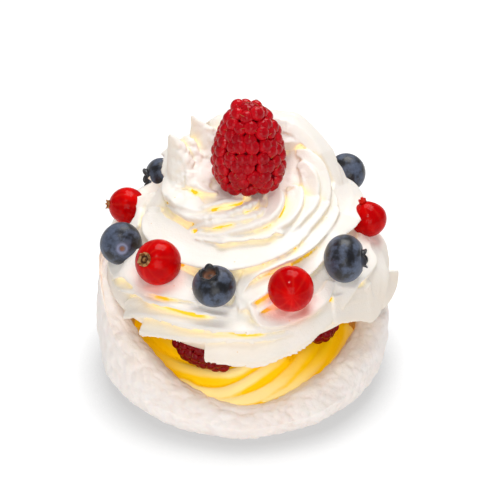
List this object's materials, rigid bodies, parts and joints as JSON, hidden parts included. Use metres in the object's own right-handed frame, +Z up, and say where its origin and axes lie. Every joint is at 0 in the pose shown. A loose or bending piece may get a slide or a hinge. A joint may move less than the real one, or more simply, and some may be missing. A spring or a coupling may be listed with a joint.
{
  "type": "pavlova",
  "caption": "Single-serving pavlova: a round meringue nest with piped custard, a tall swirl of whipped cream, a ring of small berries and a raspberry on top.",
  "frame": {"origin": "middle of the flat underside of the meringue nest", "axes": "+Z up, -Y towards the low front of the rim, where the custard shows"},
  "size_m": [0.0811, 0.0809, 0.0812],
  "materials": {
    "meringue": "satin",
    "custard": "glossy",
    "cream": "satin",
    "raspberry": "glossy",
    "blueberry": "satin",
    "currant": "glossy"
  },
  "bodies": {
    "root": {"meringue_nest": "meringue", "custard": "custard", "whipped_cream": "cream", "raspberry_top": "raspberry", "raspberry_left": "raspberry", "raspberry_right": "raspberry", "blueberry_1": "blueberry", "blueberry_2": "blueberry", "blueberry_3": "blueberry", "blueberry_4": "blueberry", "blueberry_5": "blueberry", "blueberry_6": "blueberry", "currant_1": "currant", "currant_2": "currant", "currant_3": "currant", "currant_4": "currant", "currant_5": "currant", "currant_6": "currant"}
  },
  "joints": []
}
